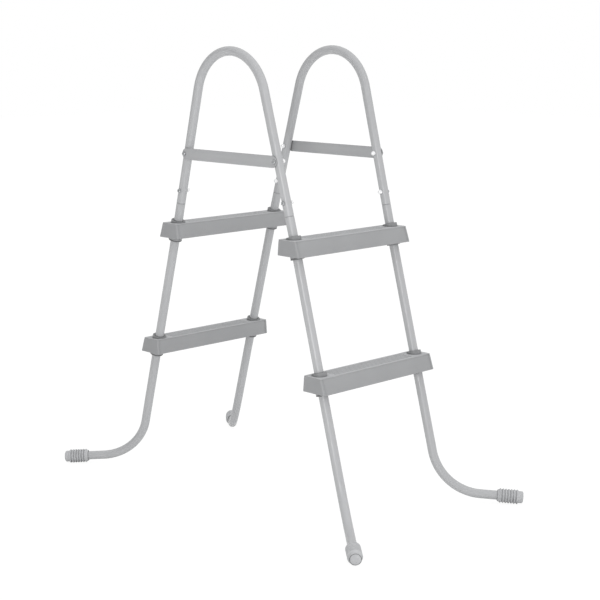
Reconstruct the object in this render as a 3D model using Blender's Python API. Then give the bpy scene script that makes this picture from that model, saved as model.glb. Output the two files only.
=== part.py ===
"""Two-sided A-frame pool ladder, two treads a side.

Frame: metres, +Z up, ground at z = 0, origin under the middle of the ladder.
+X is the entry side ("front"), -X the pool side ("rear"); the pool wall
stands in the gap between them, in the YZ plane. Treads run along Y. Facing
the ladder from the front, "left" is -Y and "right" is +Y.

Throughout, "end" is FRONT or REAR and "side" is LEFT or RIGHT: the signs of
x and y. Everything above the upper treads is built upright, then splayed.
"""
import math

import bmesh
import bpy
from mathutils import Quaternion, Vector

# ----------------------------------------------------- shared dimensions
LEG_X0 = 0.3915            # leg axis x, produced down to the ground
LEAN = 0.27248             # the legs lean in by this much per metre of height
LEAN_ANGLE = math.atan(LEAN)
HALF_WIDTH = 0.166         # leg axis y

TUBE_R = 0.0111            # 22.2 mm tube
TUBE_WALL = 0.0012
TUBE_INNER_R = TUBE_R - TUBE_WALL
GAP = 0.0003               # running clearance between neighbours

SEAM_Z = 0.7212            # handrail sits on the leg's shoulder here
SPLAY_Z = 0.6841           # above this height the hoops splay apart
SPLAY = 0.0171             # splay angle, radians

BAR_Z = 0.8464             # spreader bar and its bolts
BAR_THICKNESS = 0.0025
JOINT_Z = 0.7526           # bolts through handrail and leg
BOLT_HOLE_R = 0.0033
TUBE_DRILL_REACH = 0.02    # bolt hole cutter, either side of the tube axis
BAR_DRILL_REACH = 0.03

TREAD_TOP_Z = {"lower": 0.3613, "upper": 0.6700}
TREAD_H = 0.0378
BOSS_DROP = 0.0052         # boss below the tread, on the tube axis
BORE_R = 0.0139            # hole through the boss
NUB_RISE = 0.0085          # snap nub above the boss's lower end

CAP_START = 0.1409         # foot cap along the foot axis, from the point
CAP_END = 0.2040           # where leg and foot axes cross
CAP_END_WALL = 0.0050

TUBE_SIDES = 16            # tubes, bushes, bosses and foot caps
HOLE_SIDES = 12            # nuts and bolt holes
BOLT_SIDES = 10
NUB_SIDES = 10

X_AXIS = Vector((1.0, 0.0, 0.0))
Y_AXIS = Vector((0.0, 1.0, 0.0))
FRONT, REAR, LEFT, RIGHT = 1, -1, -1, 1
END_NAME = {FRONT: "front", REAR: "rear"}
SIDE_NAME = {LEFT: "left", RIGHT: "right"}

SHARP_ANGLE = math.radians(32)     # edges steeper than this shade sharp

# finish: (base colour, roughness, metallic)
FINISHES = {
    "coat": ((0.47, 0.48, 0.49), 0.38, 0.0),
    "bar": ((0.43, 0.44, 0.45), 0.42, 0.0),
    "tread": ((0.36, 0.365, 0.375), 0.55, 0.0),
    "bush": ((0.22, 0.225, 0.235), 0.60, 0.0),
    "cap": ((0.40, 0.41, 0.415), 0.65, 0.0),
    "steel": ((0.62, 0.63, 0.65), 0.25, 1.0),
}


# --------------------------------------------------------------- objects
def clear_scene():
    for old in list(bpy.data.objects):
        bpy.data.objects.remove(old, do_unlink=True)


def make_material(name, finish):
    colour, roughness, metallic = FINISHES[finish]
    material = bpy.data.materials.new(name)
    material.use_nodes = True
    inputs = material.node_tree.nodes["Principled BSDF"].inputs
    inputs["Base Color"].default_value = (*colour, 1.0)
    inputs["Roughness"].default_value = roughness
    inputs["Metallic"].default_value = metallic
    material.diffuse_color = (*colour, 1.0)
    return material


def make_object(name, shape):
    """Turn the bmesh into a linked object."""
    bmesh.ops.recalc_face_normals(shape, faces=shape.faces[:])
    mesh = bpy.data.meshes.new(name)
    shape.to_mesh(mesh)
    shape.free()
    obj = bpy.data.objects.new(name, mesh)
    bpy.context.scene.collection.objects.link(obj)
    return obj


def make_piece(name, shape, finish):
    piece = make_object(name, shape)
    piece.data.materials.append(make_material(name + "_" + finish, finish))
    piece.data.shade_smooth()
    piece.data.set_sharp_from_angle(angle=SHARP_ANGLE)
    return piece


def boolean(piece, operation, label, shape):
    """Cut or join the shape, kept as a hidden guide object."""
    guide = make_object("guide_" + label, shape)
    guide.hide_render = True
    guide.display_type = "WIRE"
    modifier = piece.modifiers.new(guide.name, "BOOLEAN")
    modifier.operation = operation
    modifier.solver = "EXACT"
    modifier.object = guide


def corner_name(end, side):
    return END_NAME[end] + "_" + SIDE_NAME[side]


# ---------------------------------------------------------------- shapes
def circle(centre, across, other, radius, count=TUBE_SIDES):
    """Points round the centre, in the plane of the two unit vectors."""
    points = []
    for i in range(count):
        angle = 2.0 * math.pi * i / count
        points.append(centre + radius * (math.cos(angle) * across
                                         + math.sin(angle) * other))
    return points


def turned_rings(base, axis, across, profile, count=TUBE_SIDES):
    """Rings round the axis from (distance from base, radius) pairs."""
    other = axis.cross(across)
    return [circle(base + axis * distance, across, other, radius, count)
            for distance, radius in profile]


def skin(shape, rings, loop=False):
    """Join rings of equal count with quads; then join the last ring to the
    first (loop), or close each end with one face."""
    rows = [[shape.verts.new(point) for point in ring] for ring in rings]
    pairs = list(zip(rows[:-1], rows[1:]))
    if loop:
        pairs.append((rows[-1], rows[0]))
    for row, following in pairs:
        for i in range(len(row)):
            j = (i + 1) % len(row)
            shape.faces.new((row[i], row[j], following[j], following[i]))
    if not loop:
        shape.faces.new(rows[0])
        shape.faces.new(rows[-1])


def skinned(rings, loop=False):
    shape = bmesh.new()
    skin(shape, rings, loop)
    return shape


def add_cylinder(shape, start, stop, radius, across, count=HOLE_SIDES):
    axis = (stop - start).normalized()
    other = axis.cross(across).normalized()
    skin(shape, [circle(point, across, other, radius, count)
                 for point in (start, stop)])


def add_box(shape, low, high):
    (x0, y0, z0), (x1, y1, z1) = low, high
    plan = ((x0, y0), (x1, y0), (x1, y1), (x0, y1))
    skin(shape, [[Vector((x, y, z)) for x, y in plan] for z in (z0, z1)])


# -------------------------------------------------------- frame geometry
def leg_x(z):
    """Distance of the leg axis from the YZ plane."""
    return LEG_X0 - LEAN * z


def leg_point(end, side, z):
    return Vector((end * leg_x(z), side * HALF_WIDTH, z))


def leg_up(end):
    return Vector((-end * LEAN, 0.0, 1.0)).normalized()


def splayed(point, side, share=1.0):
    """The point turned outward about the line where the splay starts."""
    sine, cosine = math.sin(SPLAY * share), math.cos(SPLAY * share)
    out = side * point.y - HALF_WIDTH
    rise = point.z - SPLAY_Z
    return Vector((point.x, side * (HALF_WIDTH + out * cosine + rise * sine),
                   SPLAY_Z - out * sine + rise * cosine))


def splay_shape(shape, side):
    for vert in shape.verts:
        vert.co = splayed(vert.co, side)
    return shape


def bolt_holes(side, places, reach):
    """Splayed cutters through the tube axis at each (end, z)."""
    shape = bmesh.new()
    for end, z in places:
        centre = leg_point(end, side, z)
        add_cylinder(shape, centre - Y_AXIS * reach, centre + Y_AXIS * reach,
                     BOLT_HOLE_R, X_AXIS)
    return splay_shape(shape, side)


def boss_end(end, side, top):
    """Lower end of a tread's boss, on the leg axis."""
    return leg_point(end, side, top - TREAD_H - BOSS_DROP)


def nub_point(end, side, top):
    return boss_end(end, side, top) + leg_up(end) * NUB_RISE


# ------------------------------------------------------------- handrails
ARC_R = 0.1212             # top bend, centre line
ARC_STEPS = 13


def handrail(side):
    """One tube: up from the rear leg, over the top, down to the front leg."""
    centre_z = (LEG_X0 - ARC_R / math.cos(LEAN_ANGLE)) / LEAN
    stations = [(leg_point(REAR, side, SEAM_Z), leg_up(REAR))]
    for i in range(ARC_STEPS + 1):
        angle = (math.pi - LEAN_ANGLE) - (math.pi - 2 * LEAN_ANGLE) * i / ARC_STEPS
        sine, cosine = math.sin(angle), math.cos(angle)
        stations.append((Vector((ARC_R * cosine, side * HALF_WIDTH,
                                 centre_z + ARC_R * sine)),
                         Vector((sine, 0.0, -cosine))))
    stations.append((leg_point(FRONT, side, SEAM_Z), -leg_up(FRONT)))
    outer, inner = [[circle(point, Y_AXIS, tangent.cross(Y_AXIS), radius)
                     for point, tangent in stations]
                    for radius in (TUBE_R, TUBE_INNER_R)]
    name = "handrail_" + SIDE_NAME[side]
    shape = skinned(outer + inner[::-1], loop=True)
    rail = make_piece(name, splay_shape(shape, side), "coat")
    places = [(end, z) for end in (REAR, FRONT) for z in (BAR_Z, JOINT_Z)]
    boolean(rail, "DIFFERENCE", name, bolt_holes(side, places, TUBE_DRILL_REACH))


# ------------------------------------------------------------------ legs
SPIGOT_R = TUBE_INNER_R - GAP
SPIGOT_LEN = 0.056         # swaged leg top, up inside the handrail
SWAGE_LEN = 0.003
# share of the splay at the first four stations; the rest have none
TOP_SPLAY_SHARES = (1.0, 1.0, 1.0, 0.5)

BEND_R = 0.130             # foot bend, centre line
BEND_STEPS = 8
FOOT_Z = 0.0287            # height at which leg and foot axes cross
FOOT_AZIMUTH = math.radians(41.1)  # foot turns out sideways from the X axis
FOOT_DROP = math.radians(3.66)

NUB_HOLE_R = 0.0029
NUB_HOLE_REACH = (0.007, 0.02)     # cutter's ends, outward of the leg axis


def foot_direction(end, side):
    level = math.cos(FOOT_DROP)
    return Vector((end * math.cos(FOOT_AZIMUTH) * level,
                   side * math.sin(FOOT_AZIMUTH) * level,
                   -math.sin(FOOT_DROP)))


def leg_stations(end, side):
    """(point, tangent, across) down the leg, round the bend and out to the
    foot, with the section frame carried along without twist."""
    down = -leg_up(end)
    out = foot_direction(end, side)
    corner = leg_point(end, side, FOOT_Z)
    turn = down.angle(out)
    axis = down.cross(out).normalized()
    arm = -axis.cross(down) * BEND_R
    centre = corner - down * (BEND_R * math.tan(turn / 2)) - arm
    shoulder = leg_point(end, side, SEAM_Z) + down * GAP

    # (point, angle turned so far)
    line = [(shoulder - down * SPIGOT_LEN, 0.0),
            (shoulder, 0.0),
            (shoulder + down * SWAGE_LEN, 0.0),
            (leg_point(end, side, SPLAY_Z), 0.0)]
    for i in range(BEND_STEPS + 1):
        angle = turn * i / BEND_STEPS
        line.append((centre + Quaternion(axis, angle) @ arm, angle))
    line.append((corner + out * (CAP_END - CAP_END_WALL - GAP), turn))

    stations = []
    for point, angle in line:
        rotation = Quaternion(axis, angle)
        stations.append((point, rotation @ down, rotation @ Y_AXIS))
    return stations


def leg(end, side):
    stations = leg_stations(end, side)
    count = len(stations)
    shares = TOP_SPLAY_SHARES + (0.0,) * (count - len(TOP_SPLAY_SHARES))

    def ring(index, radius):
        point, tangent, across = stations[index]
        return [splayed(place, side, shares[index])
                for place in circle(point, across, tangent.cross(across), radius)]

    # outside: spigot, square step that the handrail's end sits on, tube
    outer = [ring(0, SPIGOT_R), ring(1, SPIGOT_R), ring(1, TUBE_R)]
    outer += [ring(i, TUBE_R) for i in range(3, count)]
    # inside: tapers over the swage, from station 1 to 2
    inner = [ring(i, (SPIGOT_R if i < 2 else TUBE_R) - TUBE_WALL)
             for i in range(count)]
    name = "leg_" + corner_name(end, side)
    tube = make_piece(name, skinned(outer + inner[::-1], loop=True), "coat")

    holes = bolt_holes(side, [(end, JOINT_Z)], TUBE_DRILL_REACH)
    for top in TREAD_TOP_Z.values():
        start, stop = [nub_point(end, side, top) + Y_AXIS * (side * reach)
                       for reach in NUB_HOLE_REACH]
        add_cylinder(holes, start, stop, NUB_HOLE_R, leg_up(end), NUB_SIDES)
    boolean(tube, "DIFFERENCE", name, holes)


# ---------------------------------------------------------------- treads
TREAD_HALF_LEN = 0.1929
# reach from the leg axis (its x at the tread's top), at the top and bottom
TREAD_IN_TOP, TREAD_IN_BOTTOM = 0.0256, 0.0287
TREAD_OUT_TOP, TREAD_OUT_BOTTOM = 0.0295, 0.0427
TREAD_CORNER_R = 0.0040
TREAD_CORNER_MIN_R = 0.0012
TREAD_EDGE_R = 0.0022
TREAD_WALL = 0.0030
TREAD_SKIN = 0.0036        # thickness under the top face
HOLLOW_EASE = 0.0012       # hollow narrows by this at its top,
HOLLOW_EASE_H = 0.0020     # over this height
HOLLOW_OVERRUN = 0.0020    # hollow cutter below the tread

BOSS_R = 0.0165
BOSS_TOP_DEPTH = 0.0065352

WEB_COUNT = 5
WEB_PITCH = 0.054
WEB_HALF_T = 0.0012
# (depth below the top, inset from the tread's outside); run into the walls
WEB_TOP = (TREAD_SKIN - 0.0012, TREAD_WALL + 0.0006)
WEB_BOTTOM = (TREAD_H - 0.0040, TREAD_WALL - 0.0002)

BORE_OVERRUN = 0.03        # bore cutter past the tread's top and bottom
GROOVE_COUNT = 5
GROOVE_PITCH = 0.0082
GROOVE_MIDDLE = 0.0020     # middle groove, outward of the leg axis
GROOVE_HALF_W = 0.0013
GROOVE_HALF_LEN = 0.136
GROOVE_DEPTH = 0.0009
GROOVE_OVERRUN = 0.003     # groove cutter above the tread


def tread_reach(depth, inset):
    """Inward and outward reach at a depth below the top."""
    share = depth / TREAD_H
    return (TREAD_IN_TOP + (TREAD_IN_BOTTOM - TREAD_IN_TOP) * share - inset,
            TREAD_OUT_TOP + (TREAD_OUT_BOTTOM - TREAD_OUT_TOP) * share - inset)


def tread_outline(end, top, depth, inset, drop=0.0):
    """Plan outline with rounded corners for a depth, lowered by drop."""
    reach_in, reach_out = tread_reach(depth, inset)
    radius = max(TREAD_CORNER_R - inset, TREAD_CORNER_MIN_R)
    outward, inward = reach_out - radius, radius - reach_in
    y_corner = TREAD_HALF_LEN - inset - radius
    points = []
    for x, y, start in ((outward, y_corner, 0.0), (inward, y_corner, 90.0),
                        (inward, -y_corner, 180.0), (outward, -y_corner, 270.0)):
        for k in range(4):
            angle = math.radians(start + 30.0 * k)
            points.append(Vector((end * (leg_x(top) + x + radius * math.cos(angle)),
                                  y + radius * math.sin(angle),
                                  top - depth - drop)))
    return points


def tread_body(end, top):
    edge = TREAD_EDGE_R
    layers = ((0.0, edge), (edge * 0.3, edge * 0.3), (edge, 0.0), (TREAD_H, 0.0))
    return skinned([tread_outline(end, top, depth, inset)
                    for depth, inset in layers])


def tread_hollow(end, top):
    return skinned([
        tread_outline(end, top, TREAD_SKIN, TREAD_WALL + HOLLOW_EASE),
        tread_outline(end, top, TREAD_SKIN + HOLLOW_EASE_H, TREAD_WALL),
        tread_outline(end, top, TREAD_H, TREAD_WALL, HOLLOW_OVERRUN)])


def tread_ribs(end, top):
    """Bosses round the tubes and stiffening webs under the top skin."""
    shape = bmesh.new()
    for side in (LEFT, RIGHT):
        add_cylinder(shape, boss_end(end, side, top),
                     leg_point(end, side, top - BOSS_TOP_DEPTH),
                     BOSS_R, Y_AXIS, TUBE_SIDES)

    top_in, top_out = tread_reach(*WEB_TOP)
    bottom_in, bottom_out = tread_reach(*WEB_BOTTOM)
    section = ((-top_in, WEB_TOP[0]), (top_out, WEB_TOP[0]),
               (bottom_out, WEB_BOTTOM[0]), (-bottom_in, WEB_BOTTOM[0]))
    for k in range(WEB_COUNT):
        middle = (k - WEB_COUNT // 2) * WEB_PITCH
        skin(shape, [[Vector((end * (leg_x(top) + x), y, top - depth))
                      for x, depth in section]
                     for y in (middle - WEB_HALF_T, middle + WEB_HALF_T)])
    return shape


def tread_cuts(end, top):
    """Bores for the tubes, and anti-slip grooves lengthwise between them."""
    shape = bmesh.new()
    for side in (LEFT, RIGHT):
        add_cylinder(shape, leg_point(end, side, top - TREAD_H - BORE_OVERRUN),
                     leg_point(end, side, top + BORE_OVERRUN),
                     BORE_R, Y_AXIS, TUBE_SIDES)
    for k in range(GROOVE_COUNT):
        offset = GROOVE_MIDDLE + (k - GROOVE_COUNT // 2) * GROOVE_PITCH
        x = end * (leg_x(top) + offset)
        add_box(shape,
                (x - GROOVE_HALF_W, -GROOVE_HALF_LEN, top - GROOVE_DEPTH),
                (x + GROOVE_HALF_W, GROOVE_HALF_LEN, top + GROOVE_OVERRUN))
    return shape


def tread(end, level):
    top = TREAD_TOP_Z[level]
    name = "tread_%s_%s" % (END_NAME[end], level)
    step = make_piece(name, tread_body(end, top), "tread")
    boolean(step, "DIFFERENCE", name + "_hollow", tread_hollow(end, top))
    boolean(step, "UNION", name + "_webs", tread_ribs(end, top))
    boolean(step, "DIFFERENCE", name + "_cuts", tread_cuts(end, top))


# ---------------------------------------------------------------- bushes
SLEEVE_R = BORE_R - GAP
SLEEVE_LEN = 0.0150
BUSH_BORE_R = TUBE_R + GAP
COLLAR_R = 0.0176
COLLAR_RISE = 0.0058       # collar top over the tread, on the tube axis
RIM_R = 0.0166
RIM_T = 0.0027
NUB_R = 0.0026
# nub's ends, outward of the leg axis
NUB_REACH = (TUBE_INNER_R + 0.0002, 0.0122)


def bush_name(kind, end, level, side):
    return "bush_%s_%s_%s_%s" % (kind, END_NAME[end], level, SIDE_NAME[side])


def on_plane(points, up, z):
    """Slide points along the tube axis on to the level plane at z."""
    return [point + up * ((z - point.z) / up.z) for point in points]


def top_bush(end, level, side):
    """Collar with a level underside, square to the tube on top, and a sleeve
    down into the tread's bore."""
    top = TREAD_TOP_Z[level]
    up = leg_up(end)
    bore, collar, sleeve = turned_rings(
        leg_point(end, side, top + COLLAR_RISE), up, Y_AXIS,
        ((0.0, BUSH_BORE_R), (0.0, COLLAR_R), (0.0, SLEEVE_R)))
    lower_end = turned_rings(
        leg_point(end, side, top), up, Y_AXIS,
        ((-SLEEVE_LEN, SLEEVE_R), (-SLEEVE_LEN, BUSH_BORE_R)))
    rings = [bore, collar, on_plane(collar, up, top + GAP),
             on_plane(sleeve, up, top + GAP)] + lower_end
    make_piece(bush_name("top", end, level, side), skinned(rings, loop=True), "bush")


def bottom_bush(end, level, side):
    """Rim under the tread's boss and a sleeve up into its bore, with a nub
    that snaps into the leg and carries the tread."""
    top = TREAD_TOP_Z[level]
    up = leg_up(end)
    seat = boss_end(end, side, top) - up * GAP
    profile = ((-RIM_T, BUSH_BORE_R), (-RIM_T, RIM_R), (0.0, RIM_R),
               (0.0, SLEEVE_R), (SLEEVE_LEN, SLEEVE_R), (SLEEVE_LEN, BUSH_BORE_R))
    name = bush_name("bottom", end, level, side)
    rings = turned_rings(seat, up, Y_AXIS, profile)
    bush = make_piece(name, skinned(rings, loop=True), "bush")
    nub = bmesh.new()
    start, stop = [nub_point(end, side, top) + Y_AXIS * (side * reach)
                   for reach in NUB_REACH]
    add_cylinder(nub, start, stop, NUB_R, up, NUB_SIDES)
    boolean(bush, "UNION", name, nub)


# ---------------------------------------------------------- spreader bars
BAR_H = 0.0284
BAR_PAST_BOLT = 0.0070
BAR_END_STEPS = 8          # round each half-circle end


def spreader_bar(side):
    """Flat bar across the outside of the handrail, with rounded ends."""
    radius = BAR_H / 2
    centre_x = leg_x(BAR_Z) + BAR_PAST_BOLT - radius
    near = HALF_WIDTH + TUBE_R + GAP
    rings = []
    for y in (side * near, side * (near + BAR_THICKNESS)):
        ring = []
        for x, start in ((centre_x, -90.0), (-centre_x, 90.0)):
            for k in range(BAR_END_STEPS + 1):
                angle = math.radians(start + 180.0 * k / BAR_END_STEPS)
                ring.append(Vector((x + radius * math.cos(angle), y,
                                    BAR_Z + radius * math.sin(angle))))
        rings.append(ring)
    bar = make_piece("spreader_bar_" + SIDE_NAME[side],
                     splay_shape(skinned(rings), side), "bar")
    holes = bolt_holes(side, [(REAR, BAR_Z), (FRONT, BAR_Z)], BAR_DRILL_REACH)
    boolean(bar, "DIFFERENCE", "bar_" + SIDE_NAME[side], holes)


# ------------------------------------------------------------- fasteners
BOLT_R = 0.0029            # M6
HEAD_R = 0.0052
HEAD_H = 0.0040
# rounded head: (distance from its seat, radius)
HEAD_PROFILE = ((HEAD_H, 0.0024), (HEAD_H * 0.78, 0.0042),
                (HEAD_H * 0.30, HEAD_R), (0.0, HEAD_R))
BOLT_END_GAP = 0.0006      # bolt's end to the bottom of the nut's hole

NUT_HALF_FLATS = 0.0050    # 10 mm across flats
NUT_HEX_H = 0.0048
NUT_H = 0.0095
NUT_HOLE_R = 0.0032
NUT_HOLE_DEPTH = 0.0072
# dome: (distance from the nut's seat, radius)
NUT_DOME = ((NUT_HEX_H + 0.0004, 0.0045), (NUT_H - 0.0014, 0.0036),
            (NUT_H, 0.0012))


def bolt(end, side, z, kind, packing):
    """Round-headed bolt from the outside of the frame; packing is what lies
    between the tube and the head."""
    out = Y_AXIS * side
    head_offset = TUBE_R + GAP + packing
    end_offset = TUBE_R + GAP + NUT_HOLE_DEPTH - BOLT_END_GAP
    profile = HEAD_PROFILE + ((0.0, BOLT_R), (-head_offset - end_offset, BOLT_R))
    rings = turned_rings(leg_point(end, side, z) + out * head_offset,
                         out, X_AXIS, profile, BOLT_SIDES)
    make_piece("bolt_%s_%s" % (kind, corner_name(end, side)),
               splay_shape(skinned(rings), side), "steel")


def hexagon(centre, across, other):
    """Corners and mid-flats of the nut by turns."""
    points = circle(centre, across, other, NUT_HALF_FLATS, HOLE_SIDES)
    for i in range(0, HOLE_SIDES, 2):
        points[i] = centre + (points[i] - centre) / math.cos(math.pi / 6)
    return points


def cap_nut(end, side, z, kind):
    """Domed hexagon nut on the inside of the frame."""
    inward = Y_AXIS * -side
    other = inward.cross(X_AXIS)
    seat = leg_point(end, side, z) + inward * (TUBE_R + GAP)
    hole = ((NUT_HOLE_DEPTH, NUT_HOLE_R), (0.0, NUT_HOLE_R))
    rings = turned_rings(seat, inward, X_AXIS, hole, HOLE_SIDES)
    rings += [hexagon(seat + inward * height, X_AXIS, other)
              for height in (0.0, NUT_HEX_H)]
    rings += turned_rings(seat, inward, X_AXIS, NUT_DOME, HOLE_SIDES)
    make_piece("cap_nut_%s_%s" % (kind, corner_name(end, side)),
               splay_shape(skinned(rings), side), "steel")


# ------------------------------------------------------------- foot caps
CAP_RIBS = 7
RIB_FIRST = 0.0146         # first rib's crest, from the outer end
RIB_PITCH = 0.00685
RIB_CREST_R = 0.0176
RIB_ROOT_R = 0.0155
CAP_BORE_R = TUBE_R + GAP
# (distance from the outer end, radius), either side of the ribs
CAP_NOSE = [(0.0, 0.0104), (0.0016, 0.0125), (0.0050, 0.0139), (0.0110, 0.0148)]
CAP_MOUTH = [(0.0590, 0.0152), (CAP_END - CAP_START, 0.0131)]
CAP_BORE = [(CAP_END - CAP_START, CAP_BORE_R), (CAP_END_WALL, CAP_BORE_R)]

FLOOR_FROM_TIP = 0.03      # middle of the floor cutter, back along the foot
FLOOR_HALF_W = 0.08
FLOOR_DEPTH = 0.02


def cap_profile():
    """(distance from the outer end, radius): outside, then the blind bore."""
    ribs = []
    for k in range(CAP_RIBS):
        crest = RIB_FIRST + k * RIB_PITCH
        ribs.append((crest, RIB_CREST_R))
        if k < CAP_RIBS - 1:
            ribs.append((crest + RIB_PITCH / 2, RIB_ROOT_R))
    return CAP_NOSE + ribs + CAP_MOUTH + CAP_BORE


def foot_cap(end, side):
    _, out, across = leg_stations(end, side)[-1]
    tip = leg_point(end, side, FOOT_Z) + out * CAP_END
    profile = [(-distance, radius) for distance, radius in cap_profile()]
    name = "foot_cap_" + corner_name(end, side)
    cap = make_piece(name, skinned(turned_rings(tip, out, across, profile)), "cap")
    # flat where the ribs stand on the ground
    floor = bmesh.new()
    middle = tip - out * FLOOR_FROM_TIP
    add_box(floor,
            (middle.x - FLOOR_HALF_W, middle.y - FLOOR_HALF_W, -FLOOR_DEPTH),
            (middle.x + FLOOR_HALF_W, middle.y + FLOOR_HALF_W, 0.0))
    boolean(cap, "DIFFERENCE", name, floor)


# -------------------------------------------------------------- assembly
def build_ladder():
    for side in (LEFT, RIGHT):
        handrail(side)
        spreader_bar(side)
    for end in (FRONT, REAR):
        for side in (LEFT, RIGHT):
            leg(end, side)
            foot_cap(end, side)
            for kind, z, packing in (("bar", BAR_Z, BAR_THICKNESS + GAP),
                                     ("joint", JOINT_Z, 0.0)):
                bolt(end, side, z, kind, packing)
                cap_nut(end, side, z, kind)
        for level in TREAD_TOP_Z:
            tread(end, level)
            for side in (LEFT, RIGHT):
                top_bush(end, level, side)
                bottom_bush(end, level, side)


clear_scene()
build_ladder()
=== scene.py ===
"""Pool ladder: two handrails shaped like an inverted U, each carried on a front
and a rear leg, with a lower and an upper tread between the legs at each end.
Front is +X, rear -X, left -Y, right +Y; the floor is z = 0. The legs lean
inward along X as they rise, and end in ribbed caps that point outward.
"""
import math

import bmesh
import bpy
from mathutils import Matrix, Vector


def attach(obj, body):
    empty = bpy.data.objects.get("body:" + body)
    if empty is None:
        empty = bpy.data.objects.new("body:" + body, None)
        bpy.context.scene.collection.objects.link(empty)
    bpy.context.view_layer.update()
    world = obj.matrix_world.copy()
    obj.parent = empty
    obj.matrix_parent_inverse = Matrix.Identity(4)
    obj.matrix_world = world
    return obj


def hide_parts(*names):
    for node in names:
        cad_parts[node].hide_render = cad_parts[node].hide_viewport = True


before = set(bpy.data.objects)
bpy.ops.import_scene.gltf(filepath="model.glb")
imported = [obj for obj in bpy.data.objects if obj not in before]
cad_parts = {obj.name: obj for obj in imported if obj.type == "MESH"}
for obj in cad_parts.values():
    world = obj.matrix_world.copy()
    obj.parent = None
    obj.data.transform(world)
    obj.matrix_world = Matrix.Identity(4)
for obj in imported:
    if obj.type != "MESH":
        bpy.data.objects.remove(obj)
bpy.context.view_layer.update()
scene = bpy.context.scene

# ------------------------------------------------------------ dimensions
GAP = 0.0003               # clearance between pieces that touch

# legs: the axis crosses z = 0 at LEG_X0 and moves in by LEAN per metre up
LEG_X0 = 0.3915
LEAN = 0.27248
THETA = math.atan(LEAN)
HALF_WIDTH = 0.166
TUBE_R = 0.0111
TUBE_WALL = 0.0012
TUBE_EDGE = 0.0009         # broken edge at a tube's ends
SEAM_Z = 0.7212            # where handrail meets leg
SPIGOT_R = TUBE_R - TUBE_WALL - GAP
SPIGOT_LEN = 0.056
SPIGOT_TIP = 0.0010        # length of the spigot's tapered tip
SPIGOT_TAPER = 0.0006
SWAGE_LEN = 0.003

# above SPLAY_Z both sides turn outward by SPLAY radians
SPLAY_Z = 0.6841
SPLAY = 0.0171
SPLAY_EASE = 0.018         # height over which the splay starts, either way
ARC_R = 0.1212             # handrail arch

# foot: bend in the leg, then a straight run outward and slightly down
BEND_R = 0.130
FOOT_Z = 0.0287            # height at which the two straight axes cross
FOOT_AZ = math.radians(41.1)
FOOT_DROP = math.radians(3.66)

# cap distances run along the foot from the crossing of the axes
CAP_START = 0.1409
CAP_END = 0.2040
CAP_WALL_END = 0.0050

BAR_Z = 0.8464
BAR_H = 0.0284
BAR_T = 0.0025
BAR_PAST_BOLT = 0.0070
BAR_EDGE_R = 0.0006
JOINT_Z = 0.7526           # bolt through handrail and spigot

# treads: IN and OUT are widths from the leg axis, inward and outward
TREAD_TOP_Z = (0.3613, 0.6700)
TREAD_H = 0.0378
TREAD_HALF_LEN = 0.1929
TREAD_IN_TOP, TREAD_IN_BOT = 0.0256, 0.0287
TREAD_OUT_TOP, TREAD_OUT_BOT = 0.0295, 0.0427
TREAD_CORNER_R = 0.0040
TREAD_CORNER_LEAST = 0.0012
TREAD_EDGE_R = 0.0012
TREAD_BOTTOM_EDGE_R = 0.0008
TREAD_WALL = 0.0030
TREAD_SKIN = 0.0036
WEB_PITCH = 0.054
WEB_HALF_T = 0.0012
GROOVE_PITCH = 0.0082
GROOVE_SHIFT = 0.0020      # outward shift of the middle groove
BOSS_R = 0.0165
BOSS_DROP = 0.0052
BOSS_COVER = 0.0075        # depth of the boss's hidden top below the tread top
BORE_R = 0.0139

# bushes
SLEEVE_R = BORE_R - GAP
BUSH_BORE_R = TUBE_R + GAP
SLEEVE_LEN = 0.0150
SLEEVE_TAPER = 0.0006
COLLAR_R = 0.0176
COLLAR_RISE = 0.0058
COLLAR_EDGE_R = 0.0010
RIM_R = 0.0166
RIM_T = 0.0027
NUB_R = 0.0026
NUB_REACH = 0.0122         # outer end of the nub, from the leg axis
NUB_RISE = 0.0085          # above the boss's lower end
NUB_HOLE_R = NUB_R + GAP

# fasteners
BOLT_R = 0.0029
BOLT_HOLE_R = 0.0033
BOLT_TIP = 0.0008
HEAD_R = 0.0052
HEAD_H = 0.0040
HEAD_RIM_H = 0.0009        # straight rim below the domed head
HEAD_FLAT_R = 0.0026
SOCKET_FLATS = 0.0017      # half width across the socket's flats
NUT_FLATS = 0.0050         # half width across the nut's flats
NUT_HEX_H = 0.0048
NUT_H = 0.0095
NUT_DOME_R = 0.0043
NUT_DOME_SWEEP = 84.0      # degrees
NUT_CHAMFER = 0.6          # height of the chamfer over its radial width
NUT_HOLE_R = BOLT_R + GAP
NUT_HOLE_DEPTH = 0.0072

SIDES = 64                 # tubes and everything turned about them
SMALL = 48                 # fasteners
BOLT_HOLE_SIDES = 32
NUB_SIDES = 24
CORNER_POINTS = 9          # per tread corner and per groove end

X = Vector((1.0, 0.0, 0.0))
Y = Vector((0.0, 1.0, 0.0))
FRONT, REAR, LEFT, RIGHT = 1, -1, -1, 1
END_NAME = {FRONT: "front", REAR: "rear"}
SIDE_NAME = {LEFT: "left", RIGHT: "right"}
LEVEL_NAME = ("lower", "upper")


# ------------------------------------------------------------- materials
BLACK = (0.0, 0.0, 0.0)
WHITE = (1.0, 1.0, 1.0)


class Graph:
    """Short forms for laying out the node tree of a material or a world."""

    def __init__(self, owner):
        owner.use_nodes = True
        self.tree = owner.node_tree
        self.tree.nodes.clear()

    def node(self, kind, inputs=None, **settings):
        """inputs: by socket name or number, each a value or a socket."""
        node = self.tree.nodes.new(kind)
        for key, value in settings.items():
            setattr(node, key, value)
        for key, value in (inputs or {}).items():
            self.put(node.inputs[key], value)
        return node

    def put(self, socket, value):
        if hasattr(value, "is_output"):
            self.tree.links.new(value, socket)
        else:
            socket.default_value = value

    def maths(self, operation, first, second):
        return self.node("ShaderNodeMath", {0: first, 1: second},
                         operation=operation).outputs[0]

    def scaled(self, value, by):
        return self.maths("MULTIPLY", value, by)


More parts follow.
